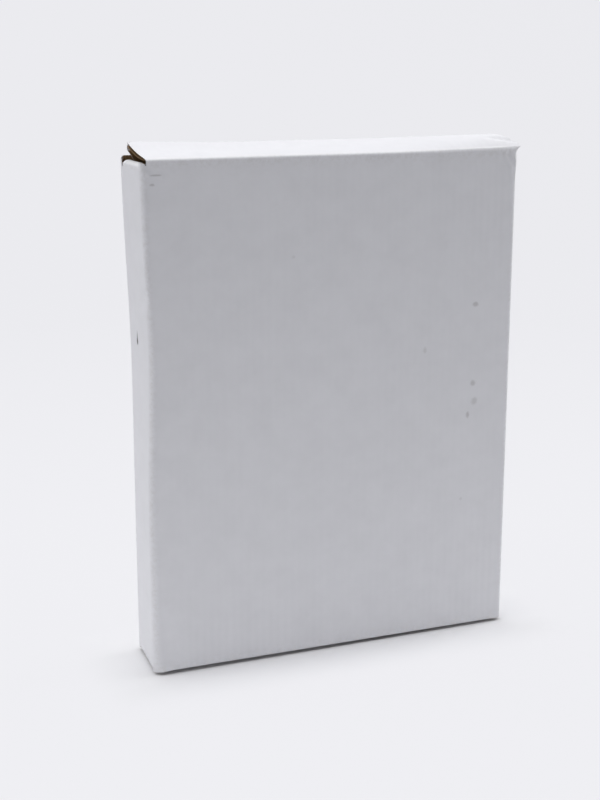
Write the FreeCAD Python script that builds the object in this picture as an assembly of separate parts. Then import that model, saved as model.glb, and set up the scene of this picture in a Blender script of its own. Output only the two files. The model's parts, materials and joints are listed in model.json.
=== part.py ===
"""Reverse tuck-end carton of white E-flute board, for a small board game.

Millimetres, +Z up, the front faces -Y. The origin is on the floor under the middle of the box.
Every panel is drawn flat in its own frame, x along its crease and y away from it, with the outer
face at z = 0 and the board below it. It is then stood in its closed place and folded to its rest.
"""
import FreeCAD, Part
import math
import os

Vector = FreeCAD.Vector

# Outside of the closed carton
BOX_WIDTH = 160.0
BOX_DEPTH = 30.0
BOX_HEIGHT = 210.0

# Board, from the outside in
OUTER_LINER = 0.25
CORE_HEIGHT = 1.15
INNER_LINER = 0.20
MEDIUM_PAPER = 0.18
FLUTE_PITCH = 3.25
FLUTE_TIP = 0.75

# Creases and folds
FOLD_RADIUS = 1.2
CREASE_GAP = 0.1
CORNER_RADIUS = 3.0

# Clearances between closed flaps
LID_OVER_DUST_GAP = 0.3
TUCK_TO_WALL_GAP = 0.4
TUCK_TO_SIDE_GAP = 1.2
FRONT_EDGE_GAP = 0.4
BACK_EDGE_DROP = 0.5

# Lid and bottom panel, and their tucks
LID_SIDE_INSET = 1.8
TUCK_LEFT_INSET = 1.2
TUCK_SHOULDER = 5.0
TUCK_LENGTH = 15.0
TUCK_TAPER = 3.0
TUCK_CORNER = 8.0

# Dust flaps
DUST_LENGTH = 20.0
DUST_HINGE_TAPER_ANGLE = 20.0
DUST_TUCK_TAPER_ANGLE = 8.0
DUST_TO_FOLD_GAP = 0.1
DUST_TO_TUCK_ROOM = 6.5
DUST_TIP_RADIUS = 3.0

# Glue flap
GLUE_FLAP_WIDTH = 15.0
GLUE_FLAP_TAPER = 6.0
GLUE_FLAP_END_GAP = 8.0
GLUE_FILM = 0.1
GLUE_MARGIN = 2.0

# Angles of the flaps at rest, in degrees from closed and square
LID_LIFT_ANGLE = 9.0
LID_TUCK_ANGLE = 12.0
BOTTOM_TUCK_ANGLE = 10.0
TOP_LEFT_DUST_ANGLE = 45.0
TOP_RIGHT_DUST_ANGLE = 4.0
BOTTOM_DUST_ANGLE = 8.0

BOARD = OUTER_LINER + CORE_HEIGHT + INNER_LINER
PLIES = {
    "outer_liner": (0.0, OUTER_LINER),
    "fluting": (OUTER_LINER, OUTER_LINER + CORE_HEIGHT),
    "inner_liner": (OUTER_LINER + CORE_HEIGHT, BOARD),
}

HALF_WIDTH = BOX_WIDTH / 2
HALF_DEPTH = BOX_DEPTH / 2
CREASE_CLEAR = FOLD_RADIUS + CREASE_GAP

# Crease axes of the top closure; the bottom closure is the same, turned about the middle
LID_AXIS_Y = FOLD_RADIUS - HALF_DEPTH
LID_AXIS_Z = BOX_HEIGHT - FOLD_RADIUS
TUCK_AXIS_Y = HALF_DEPTH - BOARD - TUCK_TO_WALL_GAP - FOLD_RADIUS
DUST_AXIS_X = HALF_WIDTH - FOLD_RADIUS
DUST_AXIS_Z = LID_AXIS_Z - BOARD - LID_OVER_DUST_GAP

BOTTOM_AXIS_Z = FOLD_RADIUS
SIDE_LOW_Z = BOX_HEIGHT - DUST_AXIS_Z + CREASE_CLEAR
FRONT_EDGE_Z = BOARD + FRONT_EDGE_GAP
BACK_EDGE_Z = BOX_HEIGHT - BACK_EDGE_DROP

GLUE_FACE_X = HALF_WIDTH - BOARD - GLUE_FILM
GLUE_LOW_Z = SIDE_LOW_Z + GLUE_FLAP_END_GAP
BACK_RIGHT_X = GLUE_FACE_X - CORNER_RADIUS
TUCK_HALF = GLUE_FACE_X - BOARD - TUCK_TO_SIDE_GAP
LID_HALF = HALF_WIDTH - LID_SIDE_INSET
TUCK_LEFT_ROOT = LID_HALF - TUCK_LEFT_INSET
LID_SPAN = TUCK_AXIS_Y - LID_AXIS_Y
FLAT_HALF_WIDTH = HALF_WIDTH - CORNER_RADIUS
FLAT_HALF_DEPTH = HALF_DEPTH - CORNER_RADIUS
GLUE_FREE_Y = FLAT_HALF_DEPTH - GLUE_FLAP_WIDTH
DUST_HINGE_SIDE = FLAT_HALF_DEPTH - DUST_TO_FOLD_GAP
DUST_TUCK_SIDE = HALF_DEPTH - DUST_TO_TUCK_ROOM

AXIS_X = Vector(1, 0, 0)
AXIS_Y = Vector(0, 1, 0)
AXIS_Z = Vector(0, 0, 1)


# Drawing helpers

def frame(origin, along, away):
    """Return the placement of a panel whose crease runs along `along` and which reaches `away`."""
    normal = along.cross(away)
    return FreeCAD.Placement(FreeCAD.Matrix(
        along.x, away.x, normal.x, origin.x,
        along.y, away.y, normal.y, origin.y,
        along.z, away.z, normal.z, origin.z,
        0, 0, 0, 1))


def rounded_face(corners):
    """Return the flat face of a polygon of (x, y, radius) corners, each rounded by its radius."""
    count = len(corners)
    points = [Vector(x, y, 0) for x, y, radius in corners]
    starts, ends, arcs = [], [], []
    for i, (x, y, radius) in enumerate(corners):
        corner = points[i]
        to_last = (points[i - 1] - corner).normalize()
        to_next = (points[(i + 1) % count] - corner).normalize()
        half_angle = to_last.getAngle(to_next) / 2
        reach = radius / math.tan(half_angle)
        starts.append(corner + to_last * reach)
        ends.append(corner + to_next * reach)
        if radius > 0:
            middle = (to_last + to_next).normalize()
            crown = corner + middle * (radius / math.sin(half_angle) - radius)
            arcs.append(Part.Arc(starts[i], crown, ends[i]).toShape())
    lines = [Part.makeLine(ends[i - 1], starts[i]) for i in range(count)]
    return Part.Face(Part.Wire(Part.__sortEdges__(lines + arcs)))


def rectangle(x0, x1, y0, y1):
    return [(x0, y0, 0), (x1, y0, 0), (x1, y1, 0), (x0, y1, 0)]


def slab(corners, top, bottom):
    """Return the outline extruded between two depths under the outer face."""
    face = rounded_face(corners)
    face.translate(Vector(0, 0, -top))
    return face.extrude(Vector(0, 0, top - bottom))


def crease_setback(top, bottom):
    """Return how far from a crease axis a paper between two depths must end to clear its bead."""
    nearest = 0.0
    if FOLD_RADIUS < top or FOLD_RADIUS > bottom:
        nearest = min(abs(FOLD_RADIUS - top), abs(FOLD_RADIUS - bottom))
    return math.sqrt(max(CREASE_CLEAR ** 2 - nearest ** 2, CREASE_GAP ** 2))


def fluting(corners, top, bottom):
    """Return the waved medium: a trapezoid wave across x, run along y, cut to the outline."""
    outline = slab(corners, top, bottom)
    box = outline.BoundBox
    slope = FLUTE_PITCH / 2 - FLUTE_TIP
    crest, trough = -top, MEDIUM_PAPER - bottom
    half_count = math.ceil(max(-box.XMin, box.XMax) / FLUTE_PITCH) + 1
    upper = []
    for i in range(-half_count, half_count):
        x = i * FLUTE_PITCH - FLUTE_TIP / 2
        upper.append(Vector(x, box.YMin, crest))
        upper.append(Vector(x + FLUTE_TIP, box.YMin, crest))
        upper.append(Vector(x + FLUTE_TIP + slope, box.YMin, trough))
        upper.append(Vector(x + 2 * FLUTE_TIP + slope, box.YMin, trough))
    lower = [point - Vector(0, 0, MEDIUM_PAPER) for point in reversed(upper)]
    wave = Part.Face(Part.makePolygon(upper + lower + upper[:1]))
    return wave.extrude(Vector(0, box.YLength, 0)).common(outline).Solids[0]


def quarter_ring(radius, thickness, start_angle, centre, low, high):
    """Return a quarter of an upright tube, from its outer radius in, between two heights."""
    ring = Part.makeCylinder(radius, high - low, Vector(), AXIS_Z, 90)
    ring = ring.cut(Part.makeCylinder(radius - thickness, high - low, Vector(), AXIS_Z, 90))
    ring.rotate(Vector(), AXIS_Z, start_angle)
    ring.translate(centre + Vector(0, 0, low))
    return ring


# Outlines of the flaps, each for a paper that starts at `start` from its own crease axis

def lid(start):
    return rectangle(-LID_HALF, LID_HALF, start, LID_SPAN - CREASE_CLEAR)


def tuck(start):
    tip = TUCK_HALF - TUCK_TAPER
    return [(-TUCK_LEFT_ROOT, start, 0), (TUCK_HALF, start, 0), (tip, TUCK_LENGTH, TUCK_CORNER),
            (-tip, TUCK_LENGTH, TUCK_CORNER), (-TUCK_HALF, TUCK_SHOULDER, 0)]


def left_dust_flap(start):
    hinge_lean = math.tan(math.radians(DUST_HINGE_TAPER_ANGLE))
    tuck_lean = math.tan(math.radians(DUST_TUCK_TAPER_ANGLE))
    return [(DUST_HINGE_SIDE - start * hinge_lean, start, 0),
            (DUST_HINGE_SIDE - DUST_LENGTH * hinge_lean, DUST_LENGTH, DUST_TIP_RADIUS),
            (DUST_LENGTH * tuck_lean - DUST_TUCK_SIDE, DUST_LENGTH, DUST_TIP_RADIUS),
            (start * tuck_lean - DUST_TUCK_SIDE, start, 0)]


def right_dust_flap(start):
    return [(-x, y, radius) for x, y, radius in left_dust_flap(start)]


# Folds: each is a pivot, an axis and an angle, and turns a closed panel to its rest

LID_PIVOT = Vector(0, LID_AXIS_Y, LID_AXIS_Z)
LID_TUCK_PIVOT = Vector(0, TUCK_AXIS_Y, LID_AXIS_Z)
BOTTOM_PIVOT = Vector(0, -LID_AXIS_Y, BOTTOM_AXIS_Z)
BOTTOM_TUCK_PIVOT = Vector(0, -TUCK_AXIS_Y, BOTTOM_AXIS_Z)
TOP_LEFT_PIVOT = Vector(-DUST_AXIS_X, 0, DUST_AXIS_Z)
TOP_RIGHT_PIVOT = Vector(DUST_AXIS_X, 0, DUST_AXIS_Z)
BOTTOM_LEFT_PIVOT = Vector(-DUST_AXIS_X, 0, BOX_HEIGHT - DUST_AXIS_Z)
BOTTOM_RIGHT_PIVOT = Vector(DUST_AXIS_X, 0, BOX_HEIGHT - DUST_AXIS_Z)

LID_FOLD = (LID_PIVOT, AXIS_X, LID_LIFT_ANGLE)
FOLDS = {
    "lid": [LID_FOLD],
    "lid_tuck": [(LID_TUCK_PIVOT, AXIS_X, -LID_TUCK_ANGLE), LID_FOLD],
    "bottom_tuck": [(BOTTOM_TUCK_PIVOT, AXIS_X, -BOTTOM_TUCK_ANGLE)],
    "top_left_dust_flap": [(TOP_LEFT_PIVOT, AXIS_Y, TOP_LEFT_DUST_ANGLE)],
    "top_right_dust_flap": [(TOP_RIGHT_PIVOT, AXIS_Y, -TOP_RIGHT_DUST_ANGLE)],
    "bottom_left_dust_flap": [(BOTTOM_LEFT_PIVOT, AXIS_Y, -BOTTOM_DUST_ANGLE)],
    "bottom_right_dust_flap": [(BOTTOM_RIGHT_PIVOT, AXIS_Y, BOTTOM_DUST_ANGLE)],
}

# Walls of the tube: the frame and the outline of each
WALLS = {
    "front_panel": (
        frame(Vector(0, -HALF_DEPTH, 0), AXIS_X, AXIS_Z),
        rectangle(-FLAT_HALF_WIDTH, FLAT_HALF_WIDTH, FRONT_EDGE_Z, LID_AXIS_Z - CREASE_CLEAR)),
    "back_panel": (
        frame(Vector(0, HALF_DEPTH, 0), -AXIS_X, AXIS_Z),
        rectangle(-BACK_RIGHT_X, FLAT_HALF_WIDTH, BOTTOM_AXIS_Z + CREASE_CLEAR, BACK_EDGE_Z)),
    "left_side_panel": (
        frame(Vector(-HALF_WIDTH, 0, 0), -AXIS_Y, AXIS_Z),
        rectangle(-FLAT_HALF_DEPTH, FLAT_HALF_DEPTH, SIDE_LOW_Z, BOX_HEIGHT - SIDE_LOW_Z)),
    "right_side_panel": (
        frame(Vector(HALF_WIDTH, 0, 0), AXIS_Y, AXIS_Z),
        rectangle(-FLAT_HALF_DEPTH, HALF_DEPTH, SIDE_LOW_Z, BOX_HEIGHT - SIDE_LOW_Z)),
    "glue_flap": (
        frame(Vector(GLUE_FACE_X, 0, 0), AXIS_Y, AXIS_Z),
        [(FLAT_HALF_DEPTH, GLUE_LOW_Z, 0), (FLAT_HALF_DEPTH, BOX_HEIGHT - GLUE_LOW_Z, 0),
         (GLUE_FREE_Y, BOX_HEIGHT - GLUE_LOW_Z - GLUE_FLAP_TAPER, 0),
         (GLUE_FREE_Y, GLUE_LOW_Z + GLUE_FLAP_TAPER, 0)]),
}

# Flaps: the closed frame and the outline of each; the outer face is one fold radius off the axis
OUT = FOLD_RADIUS
FLAPS = {
    "lid": (frame(LID_PIVOT + AXIS_Z * OUT, AXIS_X, AXIS_Y), lid),
    "lid_tuck": (frame(LID_TUCK_PIVOT + AXIS_Y * OUT, AXIS_X, -AXIS_Z), tuck),
    "top_left_dust_flap": (frame(TOP_LEFT_PIVOT + AXIS_Z * OUT, -AXIS_Y, AXIS_X), left_dust_flap),
    "top_right_dust_flap": (frame(TOP_RIGHT_PIVOT + AXIS_Z * OUT, AXIS_Y, -AXIS_X), right_dust_flap),
    "bottom_panel": (frame(BOTTOM_PIVOT - AXIS_Z * OUT, AXIS_X, -AXIS_Y), lid),
    "bottom_tuck": (frame(BOTTOM_TUCK_PIVOT - AXIS_Y * OUT, AXIS_X, AXIS_Z), tuck),
    "bottom_left_dust_flap": (frame(BOTTOM_LEFT_PIVOT - AXIS_Z * OUT, AXIS_Y, AXIS_X), left_dust_flap),
    "bottom_right_dust_flap": (
        frame(BOTTOM_RIGHT_PIVOT - AXIS_Z * OUT, -AXIS_Y, -AXIS_X), right_dust_flap),
}

# Hinge creases: frame on the axis, x along it and y back into the board that carries the bead,
# and where the bead starts and ends along x
CREASES = {
    "lid": (frame(LID_PIVOT, -AXIS_X, -AXIS_Z), -FLAT_HALF_WIDTH, FLAT_HALF_WIDTH),
    "lid_tuck": (frame(LID_TUCK_PIVOT, -AXIS_X, -AXIS_Y), -TUCK_HALF, TUCK_LEFT_ROOT),
    "bottom_panel": (frame(BOTTOM_PIVOT, -AXIS_X, AXIS_Z), -BACK_RIGHT_X, FLAT_HALF_WIDTH),
    "bottom_tuck": (frame(BOTTOM_TUCK_PIVOT, -AXIS_X, AXIS_Y), -TUCK_HALF, TUCK_LEFT_ROOT),
}
for flap, crease_frame in {
    "top_left_dust_flap": frame(TOP_LEFT_PIVOT, AXIS_Y, -AXIS_Z),
    "top_right_dust_flap": frame(TOP_RIGHT_PIVOT, -AXIS_Y, -AXIS_Z),
    "bottom_left_dust_flap": frame(BOTTOM_LEFT_PIVOT, -AXIS_Y, AXIS_Z),
    "bottom_right_dust_flap": frame(BOTTOM_RIGHT_PIVOT, AXIS_Y, AXIS_Z),
}.items():
    CREASES[flap] = (crease_frame, -DUST_HINGE_SIDE, DUST_HINGE_SIDE)

# Standing folds: centre of the bend and the angle where it starts
STANDING_FOLDS = {
    "front_left": (Vector(-FLAT_HALF_WIDTH, -FLAT_HALF_DEPTH, 0), 180),
    "front_right": (Vector(FLAT_HALF_WIDTH, -FLAT_HALF_DEPTH, 0), 270),
    "back_right": (Vector(BACK_RIGHT_X, FLAT_HALF_DEPTH, 0), 0),
    "back_left": (Vector(-FLAT_HALF_WIDTH, FLAT_HALF_DEPTH, 0), 90),
}


# Pieces

def place(shape, placement, folds):
    """Stand a flat piece in its closed place and fold it to its rest."""
    shape.Placement = placement
    for pivot, axis, angle in folds:
        shape.rotate(pivot, axis, angle)
    return shape


def wall_plies(name):
    """Return the three papers of one wall of the tube."""
    placement, corners = WALLS[name]
    return {name + "_" + ply: place(PLY_MAKERS[ply](corners, top, bottom), placement, [])
            for ply, (top, bottom) in PLIES.items()}


def flap_plies(name):
    """Return the three papers of one flap, each ending where it clears the crease."""
    placement, outline = FLAPS[name]
    plies = {}
    for ply, (top, bottom) in PLIES.items():
        shape = PLY_MAKERS[ply](outline(crease_setback(top, bottom)), top, bottom)
        plies[name + "_" + ply] = place(shape, placement, FOLDS.get(name, []))
    return plies


def hinge_crease(name):
    """Return the crushed end of the board that carries a flap, with the round bead it turns on."""
    placement, start, end = CREASES[name]
    bead = Part.makeCylinder(FOLD_RADIUS, end - start, Vector(start, 0, 0), AXIS_X)
    crushed_end = Part.makeBox(
        end - start, CREASE_CLEAR, BOARD, Vector(start, 0, FOLD_RADIUS - BOARD))
    shape = bead.fuse(crushed_end).removeSplitter().Solids[0]
    return {name + "_crease": place(shape, placement, [LID_FOLD] if name == "lid_tuck" else [])}


def standing_fold(name):
    """Return the liner and the crushed core of one upright fold of the tube."""
    centre, start_angle = STANDING_FOLDS[name]
    low = FRONT_EDGE_Z
    high = LID_AXIS_Z - CREASE_CLEAR
    inner_radius = CORNER_RADIUS - OUTER_LINER
    liner = quarter_ring(CORNER_RADIUS, OUTER_LINER, start_angle, centre, low, high)
    core = quarter_ring(inner_radius, BOARD - OUTER_LINER, start_angle, centre, low, high)
    return {name + "_fold_liner": liner, name + "_fold_core": core}


def glue_seam():
    """Return the glue film between the glue flap and the right side panel."""
    low = GLUE_LOW_Z + GLUE_FLAP_TAPER
    corners = rectangle(
        GLUE_FREE_Y + GLUE_MARGIN, FLAT_HALF_DEPTH - GLUE_MARGIN, low, BOX_HEIGHT - low)
    film = slab(corners, 0, GLUE_FILM)
    return {"glue_seam": place(film, frame(Vector(HALF_WIDTH - BOARD, 0, 0), AXIS_Y, AXIS_Z), [])}


PLY_MAKERS = {"outer_liner": slab, "fluting": fluting, "inner_liner": slab}


def build():
    nodes = glue_seam()
    for make, names in ((wall_plies, WALLS), (flap_plies, FLAPS), (hinge_crease, CREASES),
                        (standing_fold, STANDING_FOLDS)):
        for name in names:
            nodes.update(make(name))
    return nodes


os.makedirs("parts", exist_ok=True)
for node, shape in build().items():
    shape.exportStep("parts/" + node + ".step")
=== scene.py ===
"""White corrugated tuck-end carton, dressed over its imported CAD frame.

Every board is made ply by ply: a white outer liner, a waved kraft medium and a kraft inner liner.
A board is drawn flat, x across the flutes and y along them, and then laid in its folded place.
"""

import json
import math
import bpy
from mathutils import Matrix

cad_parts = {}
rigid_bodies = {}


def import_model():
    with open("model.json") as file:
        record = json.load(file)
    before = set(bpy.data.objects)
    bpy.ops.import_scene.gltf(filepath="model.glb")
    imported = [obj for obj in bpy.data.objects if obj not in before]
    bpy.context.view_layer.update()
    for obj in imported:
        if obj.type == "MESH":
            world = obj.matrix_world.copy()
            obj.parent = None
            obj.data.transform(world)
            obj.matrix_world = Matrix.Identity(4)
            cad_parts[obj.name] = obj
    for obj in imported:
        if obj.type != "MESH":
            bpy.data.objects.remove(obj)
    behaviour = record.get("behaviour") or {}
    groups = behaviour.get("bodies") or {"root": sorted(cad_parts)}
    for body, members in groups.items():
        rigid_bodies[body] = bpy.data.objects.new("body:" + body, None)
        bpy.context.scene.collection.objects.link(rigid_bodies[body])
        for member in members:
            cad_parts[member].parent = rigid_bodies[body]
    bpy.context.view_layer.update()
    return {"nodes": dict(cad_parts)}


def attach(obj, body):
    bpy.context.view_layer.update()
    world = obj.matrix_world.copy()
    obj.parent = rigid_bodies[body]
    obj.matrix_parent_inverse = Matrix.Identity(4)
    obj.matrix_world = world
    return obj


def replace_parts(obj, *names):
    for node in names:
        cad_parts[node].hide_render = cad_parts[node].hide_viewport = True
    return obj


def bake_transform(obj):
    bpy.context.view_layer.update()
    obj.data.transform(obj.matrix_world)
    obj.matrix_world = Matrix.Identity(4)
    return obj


bl_info = {
    "name": "Tuck-end carton",
    "version": (1, 0, 0),
    "blender": (4, 5, 0),
    "location": "View3D > Sidebar > Carton",
    "description": "Builds a white corrugated carton with hinged flaps",
    "category": "Add Mesh",
}

from collections import namedtuple

import bmesh
import bpy
import numpy as np
from mathutils import Vector

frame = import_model()
MM = 0.001


def linear(hex_colour):
    """Turn an sRGB hex colour into the linear values that Blender works in."""
    values = [int(hex_colour[i:i + 2], 16) / 255 for i in (0, 2, 4)]
    return tuple(v / 12.92 if v <= 0.04045 else ((v + 0.055) / 1.055) ** 2.4 for v in values)


def length(name, description, millimetres):
    return bpy.props.FloatProperty(
        name=name, description=description, default=millimetres * MM, unit="LENGTH", precision=5)


def angle(name, description, degrees):
    return bpy.props.FloatProperty(
        name=name, description=description, default=math.radians(degrees), subtype="ANGLE")


def amount(name, description, value):
    return bpy.props.FloatProperty(name=name, description=description, default=value)


def colour(name, description, hex_colour):
    return bpy.props.FloatVectorProperty(
        name=name, description=description, default=linear(hex_colour), subtype="COLOR",
        size=3, min=0, max=1)


# Settings that a user would change

class CartonSizes(bpy.types.PropertyGroup):
    """Sizes of the carton, in metres."""
    width: length("Width", "Outside width of the closed carton", 160)
    depth: length("Depth", "Outside depth of the closed carton", 30)
    height: length("Height", "Outside height of the closed carton", 210)
    outer_liner: length("Outer liner", "Thickness of the white paper", 0.25)
    core: length("Core", "Height of the waved medium", 1.15)
    inner_liner: length("Inner liner", "Thickness of the kraft inside paper", 0.20)
    medium: length("Medium", "Thickness of the waved paper", 0.18)
    pitch: length("Flute pitch", "Distance from flute to flute", 3.25)
    fold_radius: length("Hinge fold radius", "Outside radius of a flap's fold", 1.2)
    crease_gap: length("Crease gap", "Room between a bead and the papers that turn round it", 0.1)
    corner_radius: length("Corner radius", "Outside radius of the upright folds", 3.0)
    crisp_radius: length("Crisp radius", "Radius of the well-pressed upright folds", 1.8)
    soft_radius: length("Soft radius", "Radius that the front left fold softens towards", 5.6)
    lid_inset: length("Lid inset", "How far the lid's ends stand in from the sides", 1.8)
    tuck_length: length("Tuck length", "Reach of a tuck from its fold", 15)
    dust_length: length("Dust flap length", "Reach of a dust flap from its fold", 20)
    glue_flap: length("Glue flap", "Width of the glue flap", 15)
    lid_arch: length("Lid arch", "How far the lid's right end arches up", 3.0)
    ear: length("Crushed corner", "How far the lid's right front corner splays out", 2.2)
    bottom_rise: length("Bottom rise", "How far the tucked front of the bottom panel is pushed up", 1.8)


class CartonFolds(bpy.types.PropertyGroup):
    """Angles of the flaps at rest, from closed and square."""
    lid: angle("Lid", "How far the lid has sprung up", 9)
    lid_tuck: angle("Lid tuck", "How far the tuck leans in from square", 12)
    bottom_tuck: angle("Bottom tuck", "How far the lower tuck leans in from square", 10)
    top_left_dust: angle("Top left dust flap", "How far it is pushed in", 45)
    top_right_dust: angle("Top right dust flap", "How far it is pushed in", 4)
    bottom_dust: angle("Bottom dust flaps", "How far they are pushed in", 8)


class CartonColours(bpy.types.PropertyGroup):
    """Colours of the papers."""
    white: colour("White liner", "Bleached outer paper", "F1F1F5")
    white_cloud: colour("White liner, cloudy", "Thinner patches of the white coat", "EDEDF1")
    scuff: colour("Scuff", "Rubbed white paper along a fold", "D9D7D6")
    # Painted both as grime on the front and as painted shade along two dents at its top left
    dirt_and_dent_shade: colour("Dirt", "Handling marks on the white paper", "86807C")
    slit: colour("Slit", "Shadow inside a small tear", "38322E")
    kraft: colour("Kraft", "Unbleached inside paper", "977B57")
    kraft_dark: colour("Kraft, dark fibre", "Darker fibres of the kraft", "72583A")
    medium: colour("Medium", "Recycled waved paper", "826647")
    medium_dark: colour("Medium, dark fibre", "Darker fibres of the waved paper", "60472E")
    glue: colour("Glue", "Dried paper glue", "E6DFCB")


class StageSettings(bpy.types.PropertyGroup):
    """The camera, the lamps and the floor."""
    turn: angle("Camera turn", "Camera's turn round the carton", -21.68)
    rise: angle("Camera rise", "Camera's height above the horizon", 14.11)
    distance: length("Camera distance", "From the middle of the carton", 593.4)
    slide: length("Camera slide", "Shift of the camera to its right", -10.6)
    lift: length("Camera lift", "Shift of the camera upwards", 1.17)
    lens: amount("Lens", "Focal length in millimetres", 63.2)
    overhead: amount("Overhead lamp", "Power of the big overhead softbox", 17.6)
    left_fill: amount("Left lamp", "Power of the softbox on the left", 2.5)
    right_fill: amount("Right lamp", "Power of the softbox on the right", 6.6)
    room: amount("Room light", "Strength of the even light of the room", 0.25)
    paper: colour("Studio paper", "Floor and backdrop under the lamps", "F6F6F8")
    far_paper: colour("Dark surround", "The room beyond the lit paper, as it throws light back", "9A9A9E")
    glow: colour("Studio glow", "How the floor and backdrop look to the camera", "EFEFF3")


# Clearances and cuts of the sheet

SEAM_GAP = 0.1 * MM
DUST_GAP = 0.3 * MM
TUCK_GAP = 0.4 * MM
TUCK_SIDE_GAP = 1.3 * MM
TUCK_ROOT_INSET = 1.2 * MM
TUCK_SHOULDER = 5 * MM
TUCK_TAPER = 3 * MM
TUCK_CORNER = 8 * MM
DUST_SIDE_GAP = 0.1 * MM
DUST_TUCK_CUT = 6.5 * MM
DUST_TUCK_SLOPE = math.tan(math.radians(8))
DUST_HINGE_SLOPE = math.tan(math.radians(20))
DUST_CORNER = 3 * MM
CUT_START = 0.05 * MM


def sizes():
    return bpy.context.scene.carton_sizes


def board():
    """Return the thickness of the board."""
    size = sizes()
    return size.outer_liner + size.core + size.inner_liner


def crease_reach():
    """Return how far from the middle of a hinge crease its parent's board ends."""
    return sizes().fold_radius + sizes().crease_gap


def lid_half():
    """Return half the length of the lid and of the bottom panel."""
    return sizes().width / 2 - sizes().lid_inset


def lid_span():
    """Return how far the crease of the lid's tuck is from the lid's own."""
    size = sizes()
    return size.depth - 2 * size.fold_radius - board() - TUCK_GAP


def tuck_ends():
    """Return where a tuck's crease starts and ends."""
    return TUCK_ROOT_INSET - lid_half(), sizes().width / 2 - 2 * board() - TUCK_SIDE_GAP


def dust_half():
    """Return half the length of a dust flap's crease."""
    return sizes().depth / 2 - sizes().corner_radius - DUST_SIDE_GAP


# Nodes

def add_node(tree, kind, inputs=None, **settings):
    """Add a node with its settings; an input is a value, or a node and the output to link."""
    made = tree.nodes.new(kind)
    for key, value in settings.items():
        setattr(made, key, value)
    for socket, value in (inputs or {}).items():
        if isinstance(value, tuple) and isinstance(value[0], bpy.types.Node):
            tree.links.new(value[0].outputs[value[1]], made.inputs[socket])
        else:
            made.inputs[socket].default_value = value
    return made


# Meshes

SHARP_EDGE = math.radians(35)
WELD = 0.001 * MM


def ease(t):
    """Return a smooth step from 0 to 1."""
    t = np.clip(t, 0, 1)
    return t * t * (3 - 2 * t)


def hump(distance, reach):
    """Return a smooth bump: 1 in its middle, and fading over its reach."""
    return np.exp(-(distance / reach) ** 2)


def line_distance(x, y, a, b):
    """Return the distance from points to the stretch from a to b."""
    run = np.array(b) - np.array(a)
    t = np.clip(((x - a[0]) * run[0] + (y - a[1]) * run[1]) / (run @ run), 0, 1)
    return np.hypot(x - a[0] - t * run[0], y - a[1] - t * run[1])


def show(name, data):
    """Put a mesh, lamp or camera in the scene."""
    made = bpy.data.objects.new(name, data)
    bpy.context.scene.collection.objects.link(made)
    return made


def add_piece(name, points, faces, flat, material, wear=None):
    """Make a mesh object from points and faces, with its flat drawing as the UV map."""
    mesh = bpy.data.meshes.new(name)
    mesh.from_pydata([tuple(p) for p in points], [], faces)
    finish_mesh(mesh, flat, wear)
    mesh.materials.append(material)
    return show(name, mesh)


def finish_mesh(mesh, flat, wear=None):
    """Give a mesh its UV map in metres, its wear and its shading, and point its faces outwards."""
    rub = mesh.attributes.new("rubbed", "FLOAT", "POINT")
    if wear is not None:
        rub.data.foreach_set("value", np.asarray(wear, np.float32))
    corners = np.empty(len(mesh.loops), int)
    mesh.loops.foreach_get("vertex_index", corners)
    layer = mesh.uv_layers.new(name="flat")
    layer.data.foreach_set("uv", np.asarray(flat, np.float32)[corners].ravel())
    work = bmesh.new()
    work.from_mesh(mesh)
    bmesh.ops.recalc_face_normals(work, faces=work.faces)
    work.to_mesh(mesh)
    work.free()
    mesh.shade_smooth()
    mesh.set_sharp_from_angle(angle=SHARP_EDGE)


def settle(piece, body, slot, *nodes):
    """Say which body a piece moves with and the solids that it stands for; slot is not used."""
    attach(piece, body)
    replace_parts(piece, *nodes)


def flat_sheet(columns, low, high, rows):
    """Return a flat sheet: the x and y of its points, and a grid of their numbers.

    low and high say where each column starts and ends, and rows are shares of the way between.
    """
    x = np.repeat(columns, len(rows))
    y = (low[:, None] + np.outer(high - low, rows)).ravel()
    return x, y, np.arange(len(x)).reshape(len(columns), len(rows))


def grid_faces(grid):
    """Return the quads between the neighbours in a grid of point numbers."""
    return np.stack([grid[:-1, :-1], grid[1:, :-1], grid[1:, 1:], grid[:-1, 1:]], -1).reshape(-1, 4)


def shell_faces(grid):
    """Return the faces of a closed sheet: a grid, the same grid behind it, and the rim between them."""
    count = grid.size
    faces = grid_faces(grid)
    rim = np.concatenate([grid[:, 0], grid[-1, 1:], grid[-2::-1, -1], grid[0, -2:0:-1]])
    edge = np.stack([rim, rim + count, np.roll(rim, -1) + count, np.roll(rim, -1)], -1)
    return np.concatenate([faces, faces[:, ::-1] + count, edge]).tolist()


def paper_shell(name, sheet, top, bottom, lay, material, rubbed=None):
    """Make one paper: a closed sheet between two depths, which lay puts in its place."""
    x, y, grid = sheet
    points = np.concatenate([lay(x, y, np.full_like(x, depth)) for depth in (top, bottom)])
    flat = np.tile(np.stack([x, y], 1), (2, 1))
    wear = None if rubbed is None else np.tile(rubbed(x, y), 2)
    return add_piece(name, points, shell_faces(grid), flat, material, wear)


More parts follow.
